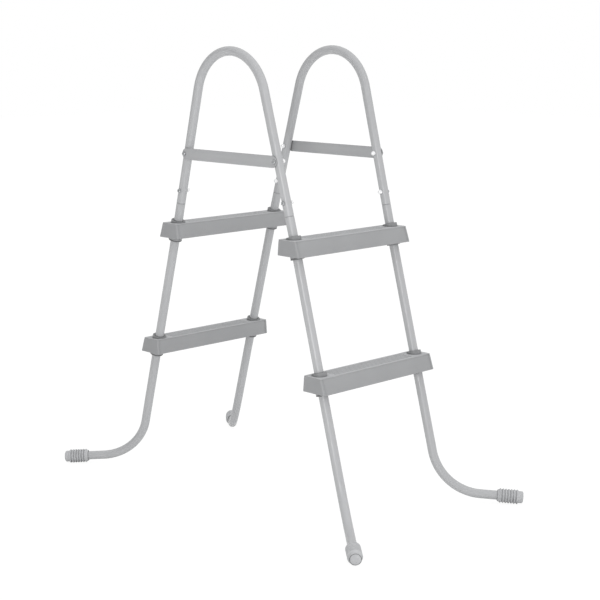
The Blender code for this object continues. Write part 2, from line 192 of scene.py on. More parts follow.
class Surface(Graph):
    """A material built round one Principled shader, in object coordinates."""

    def __init__(self, name):
        self.material = bpy.data.materials.new(name)
        super().__init__(self.material)
        output = self.node("ShaderNodeOutputMaterial")
        self.shader = self.node("ShaderNodeBsdfPrincipled")
        self.put(output.inputs["Surface"], self.shader.outputs["BSDF"])
        self.coord = self.node("ShaderNodeTexCoord").outputs["Object"]

    def mapped(self, setting, value):
        return self.node("ShaderNodeMapping",
                         {"Vector": self.coord, setting: value}).outputs["Vector"]

    def noise(self, scale, detail=3.0, rough=0.55, stretch=None):
        vector = self.mapped("Scale", stretch) if stretch else self.coord
        return self.node("ShaderNodeTexNoise", {
            "Vector": vector, "Scale": scale, "Detail": detail,
            "Roughness": rough}).outputs["Fac"]

    def remap(self, value, source=(0.3, 0.7), target=(0.0, 1.0), curve="LINEAR"):
        return self.node("ShaderNodeMapRange", {
            "Value": value, "From Min": source[0], "From Max": source[1],
            "To Min": target[0], "To Max": target[1]},
            interpolation_type=curve).outputs["Result"]

    def mix(self, factor, first, second, blend="MIX"):
        """Colour mix; sockets 0, 6 and 7 are the factor and the two colours."""
        inputs = {0: factor}
        for key, colour in ((6, first), (7, second)):
            inputs[key] = colour if hasattr(colour, "is_output") else (*colour, 1.0)
        return self.node("ShaderNodeMix", inputs, data_type="RGBA",
                         blend_type=blend).outputs[2]

    def drift(self, dark, light, **noise):
        """Soft patches between two colours."""
        return self.mix(self.remap(self.noise(**noise), curve="SMOOTHSTEP"),
                        dark, light)

    def worn(self, colour, pale, source, amount):
        """Paler on convex edges; source is the range of pointiness."""
        pointiness = self.node("ShaderNodeNewGeometry").outputs["Pointiness"]
        return self.mix(self.remap(pointiness, source, (0.0, amount)), colour, pale)

    def painted_crevice_shade(self, colour, distance, source, darkest):
        """Painted shade: darker in gaps narrower than distance; source is the range of
        openness, from darkest to unshaded."""
        openness = self.node("ShaderNodeAmbientOcclusion", {"Distance": distance},
                             samples=6).outputs["AO"]
        light = self.remap(openness, source, (darkest, 1.0))
        return self.mix(1.0, colour, self.mix(light, BLACK, WHITE), "MULTIPLY")

    def bump(self, height, strength, distance, after=None):
        inputs = {"Strength": strength, "Distance": distance, "Height": height}
        if after is not None:
            inputs["Normal"] = after
        return self.node("ShaderNodeBump", inputs).outputs["Normal"]

    def finish(self, colour, rough, normal, metal=0.0, coat=0.0, coat_rough=0.3,
               specular=0.5):
        for key, value in (("Base Color", colour), ("Roughness", rough),
                           ("Metallic", metal), ("Specular IOR Level", specular),
                           ("Coat Weight", coat), ("Coat Roughness", coat_rough),
                           ("Normal", normal)):
            self.put(self.shader.inputs[key], value)
        return self.material


def shade(grey, tint=(0.988, 1.0, 1.022)):
    """A slightly cool grey."""
    return tuple(grey * channel for channel in tint)


def powder_coat(name, grey, rough=0.46):
    """Grey powder coat on steel: orange peel, slight shade drift, thin edges."""
    coat = Surface(name)
    colour = coat.drift(shade(grey * 0.975), shade(grey * 1.02), scale=7.0, detail=2.0)
    speck = coat.remap(coat.noise(scale=950.0, detail=2.0), source=(0.56, 0.70))
    colour = coat.mix(coat.scaled(speck, by=0.16), colour, shade(grey * 0.86))
    colour = coat.worn(colour, shade(min(1.0, grey * 1.28)),
                       source=(0.53, 0.60), amount=0.30)
    # painted shade: the coat darkened in narrow gaps, such as the seam between handrail
    # and leg
    colour = coat.painted_crevice_shade(colour, distance=0.003, source=(0.30, 0.88), darkest=0.26)
    gloss = coat.remap(coat.noise(scale=46.0, detail=4.0, rough=0.6),
                       source=(0.25, 0.75), target=(rough - 0.045, rough + 0.05))
    peel = coat.bump(coat.noise(scale=520.0, detail=1.5, rough=0.4),
                     strength=0.05, distance=0.0005)
    peel = coat.bump(coat.noise(scale=90.0, detail=2.0),
                     strength=0.025, distance=0.0010, after=peel)
    return coat.finish(colour, gloss, peel, coat=0.55, coat_rough=0.19, specular=0.45)


def moulded(name, grey, rough=0.5, grain=1300.0, seed=(0.0, 0.0, 0.0), painted_top_light=0.0):
    """Moulded plastic: fine spark texture, flow streaks, scuffed edges. grain
    scales the texture, seed shifts every pattern, and the last argument paints light on
    the upward faces, in scuffed patches."""
    plastic = Surface(name)
    plastic.coord = plastic.mapped("Location", seed)
    colour = plastic.drift(shade(grey * 0.97), shade(grey * 1.025), scale=9.0)
    flow = plastic.remap(plastic.noise(scale=26.0, rough=0.6, stretch=(3.0, 0.35, 3.0)))
    colour = plastic.mix(plastic.scaled(flow, by=0.35), colour, shade(grey * 0.95))
    colour = plastic.worn(colour, shade(min(1.0, grey * 1.22)),
                          source=(0.506, 0.535), amount=0.34)
    # painted light: the upward faces lightened as if lit from above, in scuffed patches
    if painted_top_light:
        normal = plastic.node("ShaderNodeNewGeometry").outputs["Normal"]
        split = plastic.node("ShaderNodeSeparateXYZ", {0: normal})
        upward = plastic.remap(split.outputs["Z"], source=(0.80, 0.98))
        scuff = plastic.remap(
            plastic.noise(scale=38.0, detail=4.0, rough=0.6, stretch=(6.0, 0.6, 1.0)),
            source=(0.25, 0.75), target=(0.55, 1.0))
        colour = plastic.mix(plastic.maths("MULTIPLY", upward, scuff), colour,
                             shade(grey * (1.0 + painted_top_light)))
    # painted shade: darker in narrow gaps, such as the top grooves and round the bushes
    colour = plastic.painted_crevice_shade(colour, distance=0.006, source=(0.30, 0.95), darkest=0.60)
    scratches = plastic.remap(
        plastic.noise(scale=70.0, detail=2.0, rough=0.5, stretch=(9.0, 0.5, 9.0)),
        source=(0.60, 0.72), target=(0.0, 0.10))
    gloss = plastic.remap(plastic.noise(scale=60.0, detail=4.0),
                          source=(0.25, 0.75), target=(rough - 0.05, rough + 0.06))
    gloss = plastic.maths("ADD", gloss, scratches)
    if painted_top_light:
        gloss = plastic.maths("ADD", gloss, plastic.scaled(upward, by=0.16))
    spark = plastic.bump(plastic.noise(scale=grain, detail=2.0, rough=0.6),
                         strength=0.09, distance=0.0004)
    spark = plastic.bump(plastic.noise(scale=34.0, detail=2.0),
                         strength=0.025, distance=0.0012, after=spark)
    return plastic.finish(colour, gloss, spark, specular=0.32)


def rubber(name, grey):
    """Soft grey foot rubber: matt, slightly mottled, with painted shade in the grooves.
    """
    soft = Surface(name)
    colour = soft.drift(shade(grey * 0.94), shade(grey * 1.05),
                        scale=60.0, detail=4.0, rough=0.6)
    # painted shade in the grooves between the ribs
    colour = soft.painted_crevice_shade(colour, distance=0.0045, source=(0.30, 0.80), darkest=0.30)
    dust = soft.remap(soft.noise(scale=210.0), source=(0.55, 0.72), target=(0.0, 0.22))
    colour = soft.mix(dust, colour, shade(grey * 1.25))
    gloss = soft.remap(soft.noise(scale=120.0), target=(0.58, 0.74))
    pores = soft.bump(soft.noise(scale=900.0, rough=0.7), strength=0.22, distance=0.0005)
    return soft.finish(colour, gloss, pores, specular=0.35)


def turned_metal(steel, colour, gloss_range, metal):
    """Finish shared by the fasteners: streaky gloss and fine turning marks."""
    gloss = steel.remap(
        steel.noise(scale=700.0, detail=4.0, rough=0.7, stretch=(1.0, 5.0, 1.0)),
        target=gloss_range)
    marks = steel.bump(steel.noise(scale=1800.0, detail=2.0),
                       strength=0.08, distance=0.0002)
    return steel.finish(colour, gloss, marks, metal=metal)


def zinc(name):
    """Bright zinc plate with faint blue-white mottling."""
    steel = Surface(name)
    colour = steel.drift((0.93, 0.94, 0.96), (0.99, 0.99, 0.985), scale=380.0)
    colour = steel.worn(colour, (1.0, 1.0, 0.99), source=(0.52, 0.62), amount=0.5)
    return turned_metal(steel, colour, gloss_range=(0.16, 0.30), metal=0.30)


def bright_steel(name):
    """Plain grey steel for the bolts, with painted shade inside the socket."""
    steel = Surface(name)
    colour = steel.drift((0.40, 0.41, 0.42), (0.48, 0.49, 0.50), scale=420.0)
    # painted shade inside the socket and in other narrow gaps
    colour = steel.painted_crevice_shade(colour, distance=0.002, source=(0.30, 0.85), darkest=0.45)
    colour = steel.worn(colour, (0.70, 0.71, 0.72), source=(0.52, 0.62), amount=0.35)
    return turned_metal(steel, colour, gloss_range=(0.20, 0.34), metal=0.45)


MATERIALS = {
    "coated_tube": powder_coat("tube_powder_coat", grey=0.435),
    "coated_bar": powder_coat("bar_powder_coat", grey=0.398, rough=0.50),
    "tread_plastic": moulded("tread_plastic", grey=0.318, painted_top_light=0.56),
    "bush_plastic": moulded("bush_plastic", grey=0.235, rough=0.46, grain=1500.0,
                            seed=(3.1, 1.7, 0.4)),
    # the bush plastic darkened for the bottom bushes: painted shade on their underside
    "bush_plastic_painted_shade": moulded("bush_plastic_painted_shade", grey=0.150, rough=0.46, grain=1500.0,
                           seed=(0.9, 2.3, 1.4)),
    "cap_rubber": rubber("cap_rubber", grey=0.465),
    "zinc_steel": zinc("zinc_steel"),
    "bright_steel": bright_steel("bright_steel"),
}


# --------------------------------------------------------- shape helpers
def circle(centre, across, beside, radius, count=SIDES):
    """Ring in the plane of two unit vectors. radius is a number, or a function
    of the angle."""
    points = []
    for i in range(count):
        angle = 2.0 * math.pi * i / count
        reach = radius(angle) if callable(radius) else radius
        points.append(centre + reach * (math.cos(angle) * across
                                        + math.sin(angle) * beside))
    return points


def skin(shape, rings, loop=False):
    """Join rings of equal count. The last ring joins the first in a loop;
    otherwise both ends are closed with one face each."""
    rows = [[shape.verts.new(point) for point in ring] for ring in rings]
    pairs = list(zip(rows[:-1], rows[1:]))
    if loop:
        pairs.append((rows[-1], rows[0]))
    for row, following in pairs:
        count = len(row)
        for i in range(count):
            j = (i + 1) % count
            shape.faces.new((row[i], row[j], following[j], following[i]))
    if not loop:
        shape.faces.new(rows[0])
        shape.faces.new(rows[-1])


def lathe(shape, base, axis, across, profile, count=SIDES, loop=False):
    """Rings about axis at (height, radius) pairs."""
    beside = axis.cross(across).normalized()
    skin(shape, [circle(base + axis * height, across, beside, radius, count)
                 for height, radius in profile], loop)


def cylinder(shape, bottom, top, radius, across, count):
    span = top - bottom
    lathe(shape, bottom, span.normalized(), across,
          [(0.0, radius), (span.length, radius)], count)


def rounding(radius, steps, first=0):
    """(drop, inset) pairs round a quarter circle from a flat to a side."""
    angles = [math.radians(90.0 * k / steps) for k in range(first, steps + 1)]
    return [(radius * (1 - math.cos(angle)), radius * (1 - math.sin(angle)))
            for angle in angles]


def leg_x(end, z):
    return end * (LEG_X0 - LEAN * z)


def leg_point(end, side, z):
    return Vector((leg_x(end, z), side * HALF_WIDTH, z))


def leg_up(end):
    return Vector((-end * LEAN, 0.0, 1.0)).normalized()


def splayed(point, side, share=1.0):
    """The point turned outward about the splay line by a share of the splay."""
    angle = SPLAY * share
    out = side * point.y - HALF_WIDTH
    rise = point.z - SPLAY_Z
    return Vector((point.x,
                   side * (HALF_WIDTH + out * math.cos(angle) + rise * math.sin(angle)),
                   SPLAY_Z - out * math.sin(angle) + rise * math.cos(angle)))


def splay_mesh(shape, side):
    for vert in shape.verts:
        vert.co = splayed(vert.co, side)
    return shape


def bolt_holes(ends, side, heights, reach=0.02):
    """Cutters through the leg axes, splayed with the pieces they cut."""
    holes = bmesh.new()
    for end in ends:
        for z in heights:
            middle = leg_point(end, side, z)
            cylinder(holes, middle - Y * reach, middle + Y * reach, BOLT_HOLE_R, X,
                     BOLT_HOLE_SIDES)
    return splay_mesh(holes, side)


def to_object(name, shape):
    bmesh.ops.recalc_face_normals(shape, faces=shape.faces[:])
    mesh = bpy.data.meshes.new(name)
    shape.to_mesh(mesh)
    shape.free()
    obj = bpy.data.objects.new(name, mesh)
    scene.collection.objects.link(obj)
    return obj


def carve(obj, steps):
    """Apply Boolean steps (shape, operation) and keep the plain result."""
    tools = []
    for i, (shape, operation) in enumerate(steps):
        tool = to_object("%s_tool_%d" % (obj.name, i), shape)
        modifier = obj.modifiers.new("step_%d" % i, "BOOLEAN")
        modifier.operation = operation
        modifier.solver = "EXACT"
        modifier.object = tool
        tools.append(tool)
    bpy.context.view_layer.update()
    depsgraph = bpy.context.evaluated_depsgraph_get()
    mesh = bpy.data.meshes.new_from_object(obj.evaluated_get(depsgraph))
    obj.modifiers.clear()
    uncut = obj.data
    obj.data = mesh
    mesh.name = obj.name
    bpy.data.meshes.remove(uncut)
    for tool in tools:
        tool_mesh = tool.data
        bpy.data.objects.remove(tool, do_unlink=True)
        bpy.data.meshes.remove(tool_mesh)


def piece(node, shape, slot, angle, steps=(), weighted=False, look=None):
    """Build the visible piece for a frame node: Boolean steps, material,
    shading (sharp above angle degrees) and its place in the frame. look names
    a material of its own for a piece whose slot is shared."""
    obj = to_object("vis_" + node, shape)
    if steps:
        carve(obj, steps)
    mesh = obj.data
    mesh.materials.clear()
    mesh.materials.append(MATERIALS[look or slot])
    for poly in mesh.polygons:
        poly.material_index = 0
    mesh.shade_smooth()
    mesh.set_sharp_from_angle(angle=math.radians(angle))
    if weighted:
        modifier = obj.modifiers.new("even_normals", "WEIGHTED_NORMAL")
        modifier.keep_sharp = True
        modifier.weight = 90
    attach(obj, "root")
    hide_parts(node)


# ------------------------------------------------------------- handrails
ARC_STEPS = 72
RAIL_RISES = (0.0, TUBE_EDGE, 0.004, 0.02)      # along the axis above the seam
RAIL_HEIGHTS = (BAR_Z - 0.02, BAR_Z + 0.02)


def rail_straight(end, side):
    """Axis points up one straight run of a handrail."""
    return ([leg_point(end, side, SEAM_Z) + leg_up(end) * rise for rise in RAIL_RISES]
            + [leg_point(end, side, z) for z in RAIL_HEIGHTS])


def handrail(side):
    centre_z = (LEG_X0 - ARC_R / math.cos(THETA)) / LEAN
    # (axis point, direction), up the rear, over the arch and down the front
    line = [(point, leg_up(REAR)) for point in rail_straight(REAR, side)]
    for i in range(ARC_STEPS + 1):
        angle = (math.pi - THETA) - (math.pi - 2 * THETA) * i / ARC_STEPS
        point = Vector((ARC_R * math.cos(angle), side * HALF_WIDTH,
                        centre_z + ARC_R * math.sin(angle)))
        line.append((point, Vector((math.sin(angle), 0.0, -math.cos(angle)))))
    line += [(point, -leg_up(FRONT)) for point in reversed(rail_straight(FRONT, side))]
    outer, inner = [], []
    for i, (point, along) in enumerate(line):
        cut = TUBE_EDGE if i in (0, len(line) - 1) else 0.0
        beside = along.cross(Y)
        outer.append(circle(point, Y, beside, TUBE_R - cut))
        inner.append(circle(point, Y, beside, TUBE_R - TUBE_WALL + cut * 0.3))
    shape = bmesh.new()
    skin(shape, outer + inner[::-1], loop=True)
    holes = bolt_holes((REAR, FRONT), side, (BAR_Z, JOINT_Z))
    piece("handrail_" + SIDE_NAME[side], splay_mesh(shape, side), "coated_tube", 35,
          [(holes, "DIFFERENCE")])


# ------------------------------------------------------------------ legs
BEND_STEPS = 44
EASE_STEPS = 12
NUB_HOLE_REACH = (0.007, 0.02)       # from the leg axis, inside and outside


def foot_bend(end, side):
    """Directions down the leg and out along the foot, the crossing of the two
    axes, and the bend's angle, axis and centre."""
    down = -leg_up(end)
    level = math.cos(FOOT_DROP)
    out = Vector((end * math.cos(FOOT_AZ) * level, side * math.sin(FOOT_AZ) * level,
                  -math.sin(FOOT_DROP)))
    corner = leg_point(end, side, FOOT_Z)
    turn = down.angle(out)
    axis = down.cross(out).normalized()
    run = BEND_R * math.tan(turn / 2)
    centre = corner - down * run + axis.cross(down) * BEND_R
    return down, out, corner, turn, axis, centre


def turned(down, axis, angle):
    """Tangent, and Y carried round, after turning by angle in the bend."""
    along = down * math.cos(angle) + axis.cross(down) * math.sin(angle)
    across = (Y * math.cos(angle) + axis.cross(Y) * math.sin(angle)
              + axis * axis.dot(Y) * (1 - math.cos(angle)))
    return along, across


def leg_stations(end, side, bend):
    """(centre, turn, outer radius, inner radius, share of the splay); the
    shoulder has two outer rings and only one inner."""
    down, out, corner, turn, axis, centre = bend
    shoulder = leg_point(end, side, SEAM_Z) + down * GAP
    spigot_bore = SPIGOT_R - TUBE_WALL
    bore = TUBE_R - TUBE_WALL
    stations = [
        (shoulder - down * SPIGOT_LEN, 0.0, SPIGOT_R - SPIGOT_TAPER, spigot_bore, 1.0),
        (shoulder - down * (SPIGOT_LEN - SPIGOT_TIP), 0.0, SPIGOT_R, spigot_bore, 1.0),
        (shoulder, 0.0, SPIGOT_R, spigot_bore, 1.0),
        (shoulder, 0.0, TUBE_R - TUBE_EDGE, None, 1.0),
        (shoulder + down * TUBE_EDGE, 0.0, TUBE_R, spigot_bore, 1.0),
        (shoulder + down * SWAGE_LEN, 0.0, TUBE_R, bore, 1.0)]
    for k in range(EASE_STEPS + 1):
        height = SPLAY_EASE * (1 - k / (EASE_STEPS / 2))
        step = (height / SPLAY_EASE + 1) / 2
        stations.append((leg_point(end, side, SPLAY_Z + height), 0.0, TUBE_R, bore,
                         step * step * (3 - 2 * step)))
    for z in (0.50, 0.30):
        stations.append((leg_point(end, side, z), 0.0, TUBE_R, bore, 0.0))
    arm = -(axis.cross(down)) * BEND_R
    for i in range(BEND_STEPS + 1):
        angle = turn * i / BEND_STEPS
        swung = arm * math.cos(angle) + axis.cross(arm) * math.sin(angle)
        stations.append((centre + swung, angle, TUBE_R, bore, 0.0))
    tip = corner + out * (CAP_END - CAP_WALL_END - GAP)
    stations.append((tip - out * TUBE_EDGE, turn, TUBE_R, bore, 0.0))
    stations.append((tip, turn, TUBE_R - TUBE_EDGE, bore, 0.0))
    return stations


def leg(end, side):
    bend = foot_bend(end, side)
    down, axis = bend[0], bend[4]
    outer, inner = [], []
    for centre, angle, outer_r, inner_r, share in leg_stations(end, side, bend):
        along, across = turned(down, axis, angle)
        beside = along.cross(across)
        for radius, rows in ((outer_r, outer), (inner_r, inner)):
            if radius is not None:
                rows.append([splayed(point, side, share) if share else point
                             for point in circle(centre, across, beside, radius)])
    shape = bmesh.new()
    skin(shape, outer + inner[::-1], loop=True)
    holes = bolt_holes((end,), side, (JOINT_Z,))
    for top in TREAD_TOP_Z:
        nub = nub_point(end, side, top)
        inside, outside = [nub + Y * (side * reach) for reach in NUB_HOLE_REACH]
        cylinder(holes, inside, outside, NUB_HOLE_R, leg_up(end), NUB_SIDES)
    piece("leg_%s_%s" % (END_NAME[end], SIDE_NAME[side]), shape, "coated_tube", 35,
          [(holes, "DIFFERENCE")])


# ---------------------------------------------------------------- treads
# shallow valley beside each corner bead, on the long faces:
# (distance from the tread's end, share of the full depth)
VALLEY = ((0.0042, 0.0), (0.0050, 0.45), (0.0058, 0.86), (0.0066, 1.0),
          (0.0076, 0.96), (0.0088, 0.72), (0.0110, 0.30), (0.0145, 0.0))
VALLEY_DEPTH = 0.0019

# side faces, with a shallow groove along the long ones just under the top:
# (depth below the top, share of the valley, depth of the groove)
TREAD_SIDE = (
    (TREAD_EDGE_R + 0.0002, 0.0, 0.0), (0.0020, 0.30, 0.00035),
    (0.0026, 0.5, 0.0005), (0.0034, 0.75, 0.0004),
    (0.0046, 1.0, 0.00012), (0.0056, 1.0, 0.0),
    (TREAD_H - 0.0030, 1.0, 0.0), (TREAD_H - 0.0016, 0.4, 0.0),
    (TREAD_H - 0.0009, 0.0, 0.0))

# hollow underside: (depth below the top, inset from the side faces)
TREAD_HOLLOW = (
    (TREAD_H, TREAD_WALL - 0.0003), (TREAD_H - 0.0003, TREAD_WALL),
    (TREAD_SKIN + 0.0020, TREAD_WALL), (TREAD_SKIN + 0.0006, TREAD_WALL + 0.0004),
    (TREAD_SKIN, TREAD_WALL + 0.0012))

# upper and lower edge of a web: (depth, inset), ends sunk in skin and walls
WEB_EDGES = ((TREAD_SKIN - 0.0012, TREAD_WALL + 0.0006),
             (TREAD_H - 0.004, TREAD_WALL - 0.0002))

# groove with sloped walls: (half length, half width, height over the top)
GROOVE = ((0.1365, 0.0024, 0.0008), (0.1362, 0.0016, 0.0),
          (0.1355, 0.0012, -0.0006), (0.1350, 0.0008, -0.0010))


def tread_section(depth):
    """Inward and outward width at this depth."""
    share = depth / TREAD_H
    return (TREAD_IN_TOP + (TREAD_IN_BOT - TREAD_IN_TOP) * share,
            TREAD_OUT_TOP + (TREAD_OUT_BOT - TREAD_OUT_TOP) * share)


def tread_layer(end, top, depth, inset, valley=0.0, groove=0.0):
    """Rounded plan outline, counter-clockwise in (outward, y)."""
    inward, outward = tread_section(depth)
    low = -(inward - inset - groove)
    high = outward - inset - groove
    half = TREAD_HALF_LEN - inset
    radius = max(TREAD_CORNER_R - inset, TREAD_CORNER_LEAST)
    points = []

    def corner(x, y, start):
        for k in range(CORNER_POINTS):
            angle = math.radians(start + 90.0 * k / (CORNER_POINTS - 1))
            points.append((x + radius * math.cos(angle), y + radius * math.sin(angle)))

    def dip(x, towards, side, order):
        for distance, share in order:
            points.append((x + towards * share * valley, side * (half - distance)))

    corner(high - radius, half - radius, 0.0)
    corner(low + radius, half - radius, 90.0)
    dip(low, 1.0, RIGHT, VALLEY)
    dip(low, 1.0, LEFT, VALLEY[::-1])
    corner(low + radius, -half + radius, 180.0)
    corner(high - radius, -half + radius, 270.0)
    dip(high, -1.0, LEFT, VALLEY)
    dip(high, -1.0, RIGHT, VALLEY[::-1])
    return [Vector((leg_x(end, top) + end * x, y, top - depth)) for x, y in points]


def tread_body(end, top):
    """(depth, inset, valley, groove) layers down the outside and up the hollow."""
    layers = [(0.0, TREAD_EDGE_R + 0.0006)]
    layers += rounding(TREAD_EDGE_R, 8)
    layers += [(depth, 0.0, VALLEY_DEPTH * share, groove)
               for depth, share, groove in TREAD_SIDE]
    layers += [(TREAD_H - rise, inset)
               for inset, rise in rounding(TREAD_BOTTOM_EDGE_R, 4, first=1)]
    layers += TREAD_HOLLOW
    body = bmesh.new()
    skin(body, [tread_layer(end, top, *layer) for layer in layers])
    return body


def tread_bosses(end, top):
    bosses = bmesh.new()
    for side in (LEFT, RIGHT):
        low = boss_end(end, side, top)
        length = (leg_point(end, side, top - BOSS_COVER) - low).length + 0.0010
        lathe(bosses, low, leg_up(end), Y,
              [(0.0, BOSS_R - 0.0007), (0.0002, BOSS_R - 0.0002),
               (0.0007, BOSS_R), (length, BOSS_R)])
    return bosses


def tread_webs(end, top):
    """Five cross webs under the tread."""
    webs = bmesh.new()
    centre_x = leg_x(end, top)
    for k in range(-2, 3):
        rings = []
        for y in (k * WEB_PITCH - WEB_HALF_T, k * WEB_PITCH + WEB_HALF_T):
            edges = []
            for depth, inset in WEB_EDGES:
                inward, outward = tread_section(depth)
                edges.append([
                    Vector((centre_x - end * (inward - inset), y, top - depth)),
                    Vector((centre_x + end * (outward - inset), y, top - depth))])
            upper, lower = edges
            rings.append(upper + lower[::-1])
        skin(webs, rings)
    return webs


def tread_bores(end, top):
    bores = bmesh.new()
    for side in (LEFT, RIGHT):
        cylinder(bores, leg_point(end, side, top - TREAD_H - 0.03),
                 leg_point(end, side, top + 0.03), BORE_R, Y, SIDES)
    return bores


def slot_ring(centre_x, half_len, half_width, z):
    """Long round-ended outline along Y."""
    points = []
    for side, start in ((RIGHT, 0.0), (LEFT, 180.0)):
        for k in range(CORNER_POINTS):
            angle = math.radians(start + 180.0 * k / (CORNER_POINTS - 1))
            points.append(Vector((centre_x + half_width * math.cos(angle),
                                  side * (half_len - half_width)
                                  + half_width * math.sin(angle), z)))
    return points


def tread_grooves(end, top):
    """Five grooves along the top."""
    grooves = bmesh.new()
    for k in range(5):
        centre_x = leg_x(end, top) + end * (GROOVE_SHIFT + (k - 2) * GROOVE_PITCH)
        skin(grooves, [slot_ring(centre_x, half_len, half_width, top + height)
                       for half_len, half_width, height in GROOVE])
    return grooves


def tread(end, level):
    top = TREAD_TOP_Z[level]
    piece("tread_%s_%s" % (END_NAME[end], LEVEL_NAME[level]), tread_body(end, top),
          "tread_plastic", 34,
          [(tread_bosses(end, top), "UNION"), (tread_webs(end, top), "UNION"),
           (tread_bores(end, top), "DIFFERENCE"),
           (tread_grooves(end, top), "DIFFERENCE")], weighted=True)


# ---------------------------------------------------------------- bushes
# (height over the seat, radius): rim below the boss, sleeve inside it
BOTTOM_BUSH = (
    (-RIM_T + 0.0003, BUSH_BORE_R), (-RIM_T, BUSH_BORE_R + 0.0003),
    (-RIM_T, RIM_R - 0.0010), (-RIM_T + 0.0002, RIM_R - 0.0004),
    (-RIM_T + 0.0008, RIM_R), (-0.0003, RIM_R), (0.0, RIM_R - 0.0003),
    (0.0, SLEEVE_R), (SLEEVE_LEN - SLEEVE_TAPER, SLEEVE_R),
    (SLEEVE_LEN, SLEEVE_R - SLEEVE_TAPER), (SLEEVE_LEN, BUSH_BORE_R))

# crown of the top bush: (drop from the crown, radius)
COLLAR_CROWN = ((0.0008, BUSH_BORE_R), (0.0002, BUSH_BORE_R + 0.0002),
                (0.0, BUSH_BORE_R + 0.0008), (0.0, COLLAR_R - 0.0014))


def boss_end(end, side, top):
    return leg_point(end, side, top - TREAD_H - BOSS_DROP)


def nub_point(end, side, top):
    return boss_end(end, side, top) + leg_up(end) * NUB_RISE


def bush_node(kind, end, level, side):
    return "bush_%s_%s_%s_%s" % (kind, END_NAME[end], LEVEL_NAME[level],
                                 SIDE_NAME[side])


def on_plane(points, up, z):
    """Points moved along up to this height."""
    return [point + up * ((z - point.z) / up.z) for point in points]


def top_bush(end, level, side):
    """Collar square to the leg on top, level underneath, and a sleeve below."""
    top = TREAD_TOP_Z[level]
    up = leg_up(end)
    beside = up.cross(Y)
    crown = leg_point(end, side, top + COLLAR_RISE)
    foot = leg_point(end, side, top) - up * SLEEVE_LEN

    def ring(centre, radius):
        return circle(centre, Y, beside, radius)

    rings = [ring(crown - up * drop, radius) for drop, radius in COLLAR_CROWN]
    rings += [ring(crown - up * drop, COLLAR_R - inset)
              for drop, inset in rounding(COLLAR_EDGE_R, 5, first=1)]
    level_ring = on_plane(ring(crown, COLLAR_R), up, top + GAP + 0.0003)
    # the low side of the wedge is thinner than the rounding: keep it in order
    for k, point in enumerate(rings[-1]):
        if (point - level_ring[k]).dot(up) < 0.0:
            rings[-1][k] = level_ring[k] + up * 0.00005
    rings += [level_ring,
              on_plane(ring(crown, COLLAR_R - 0.0004), up, top + GAP),
              on_plane(ring(crown, SLEEVE_R), up, top + GAP),
              ring(foot + up * SLEEVE_TAPER, SLEEVE_R),
              ring(foot, SLEEVE_R - SLEEVE_TAPER),
              ring(foot, BUSH_BORE_R)]
    shape = bmesh.new()
    skin(shape, rings, loop=True)
    piece(bush_node("top", end, level, side), shape, "bush_plastic", 40)


def bottom_bush(end, level, side):
    """Rim and sleeve, with a nub that enters the hole in the leg."""
    top = TREAD_TOP_Z[level]
    up = leg_up(end)
    shape = bmesh.new()
    lathe(shape, boss_end(end, side, top) - up * GAP, up, Y, BOTTOM_BUSH, loop=True)
    nub = bmesh.new()
    middle = nub_point(end, side, top)
    cylinder(nub, middle + Y * (side * (TUBE_R - TUBE_WALL + 0.0002)),
             middle + Y * (side * NUB_REACH), NUB_R, up, NUB_SIDES)
    # the rim takes the darker copy of the bush plastic, painted shade for the underside
    piece(bush_node("bottom", end, level, side), shape, "bush_plastic", 40,
          [(nub, "UNION")], look="bush_plastic_painted_shade")


# ---------------------------------------------------------- spreader bars
def spreader_bar(side):
    """Flat bar with round ends, on the outer side of the handrail."""
    tip = leg_x(FRONT, BAR_Z) + BAR_PAST_BOLT
    end_r = BAR_H / 2
    inner_y = HALF_WIDTH + TUBE_R + GAP

    def ring(depth, inset):
        points = []
        for centre_x, start in ((tip - end_r, -90.0), (-tip + end_r, 90.0)):
            for k in range(25):
                angle = math.radians(start + 7.5 * k)
                points.append(Vector((centre_x + (end_r - inset) * math.cos(angle),
                                      side * (inner_y + depth),
                                      BAR_Z + (end_r - inset) * math.sin(angle))))
        return points

    edge = [(0.0, BAR_EDGE_R + 0.0004)] + rounding(BAR_EDGE_R, 3)
    rings = [ring(depth, inset) for depth, inset in edge]
    rings += [ring(BAR_T - depth, inset) for depth, inset in reversed(edge)]
    shape = bmesh.new()
    skin(shape, rings)
    holes = bolt_holes((REAR, FRONT), side, (BAR_Z,), reach=0.03)
    piece("spreader_bar_" + SIDE_NAME[side], splay_mesh(shape, side), "coated_bar", 34,
          [(holes, "DIFFERENCE")], weighted=True)


# ------------------------------------------------------------- fasteners
def hexagon(flats):
    """Radius of a hexagon with this half width across flats, by angle."""
    def radius(angle):
        from_flat = (angle + math.pi / 6) % (math.pi / 3) - math.pi / 6
        return flats / math.cos(from_flat)
    return radius


def bolt(end, side, z, kind, packing):
    """Domed head with a hexagon socket; packing is what lies under the head."""
    seat = leg_point(end, side, z) + Y * side * (TUBE_R + GAP + packing)
    length = TUBE_R * 2 + GAP * 2 + packing + NUT_HOLE_DEPTH - 0.0006
    socket = hexagon(SOCKET_FLATS)
    # (height over the seat, radius)
    profile = [(HEAD_H - 0.0022, socket), (HEAD_H - 0.0003, socket),
               (HEAD_H, lambda angle: socket(angle) + 0.0003), (HEAD_H, HEAD_FLAT_R)]
    for k in range(1, 9):
        angle = math.radians(90.0 * k / 8)
        profile.append((HEAD_RIM_H + (HEAD_H - HEAD_RIM_H) * math.cos(angle),
                        HEAD_FLAT_R + (HEAD_R - HEAD_FLAT_R) * math.sin(angle)))
    profile += [(0.0003, HEAD_R), (0.0, HEAD_R - 0.0003), (0.0, BOLT_R),
                (-length + BOLT_TIP, BOLT_R), (-length, BOLT_R - BOLT_TIP)]
    shape = bmesh.new()
    lathe(shape, seat, Y * side, X, profile, SMALL)
    piece("bolt_%s_%s_%s" % (kind, END_NAME[end], SIDE_NAME[side]),
          splay_mesh(shape, side), "zinc_steel", 35, look="bright_steel")


